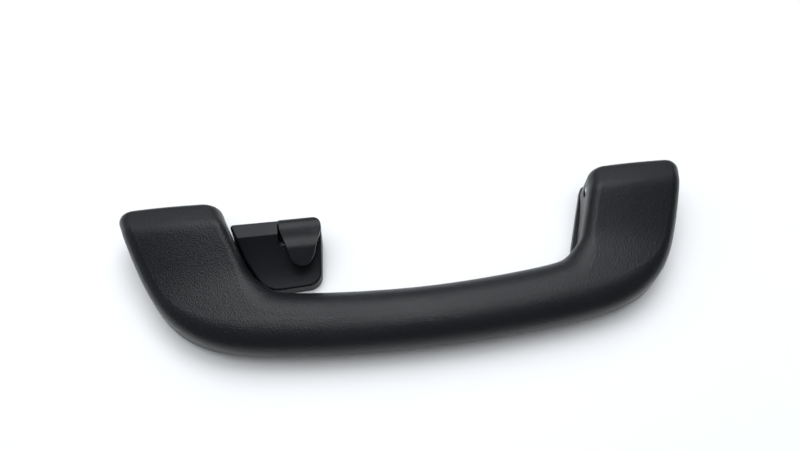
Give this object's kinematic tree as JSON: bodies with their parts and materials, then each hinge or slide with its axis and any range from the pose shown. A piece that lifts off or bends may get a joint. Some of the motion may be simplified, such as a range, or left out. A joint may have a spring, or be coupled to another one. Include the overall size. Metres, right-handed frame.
{
  "type": "roof grab handle",
  "caption": "Folding roof grab handle for a vehicle cabin: a sprung and damped bar that hinges on fixed bases, with a moulded coat hook beside its left leg.",
  "frame": {"origin": "midway between the two screw centres, on the plane where the bases meet the roof lining", "axes": "+X along the handle away from the coat hook, +Y from the grip bar towards the pivots, +Z out of the roof lining"},
  "size_m": [0.2348, 0.069, 0.0227],
  "materials": {
    "grip_plastic": "fine moulded grain, matt",
    "base_plastic": "satin",
    "cover_plastic": "matt",
    "bush_plastic": "natural acetal, smooth",
    "damper_plastic": "smooth",
    "steel": "zinc plated",
    "rubber": "soft black"
  },
  "bodies": {
    "bases": {"hook_base": "base_plastic", "plain_base": "base_plastic", "left_screw_cover": "cover_plastic", "right_screw_cover": "cover_plastic", "left_inner_bush": "bush_plastic", "left_outer_bush": "bush_plastic", "right_inner_bush": "bush_plastic", "right_outer_bush": "bush_plastic", "left_screw_sleeve": "steel", "right_screw_sleeve": "steel", "left_rubber_stop": "rubber", "right_rubber_stop": "rubber", "damper_housing": "damper_plastic", "damper_lid": "damper_plastic", "return_spring": "steel"},
    "swinging_grip": {"grip": "grip_plastic", "left_pivot_pin": "steel", "right_pivot_pin": "steel", "damper_rotor": "damper_plastic"}
  },
  "joints": [
    {"name": "grip_fold", "type": "hinge", "parent": "bases", "child": "swinging_grip", "pos_m": [0, 0.018, 0.0125], "axis": [-1, 0, 0], "range_deg": [0, 90], "stiffness_Nm_per_rad": 0.08, "springref_deg": -34.38, "deforming": ["return_spring"]}
  ]
}
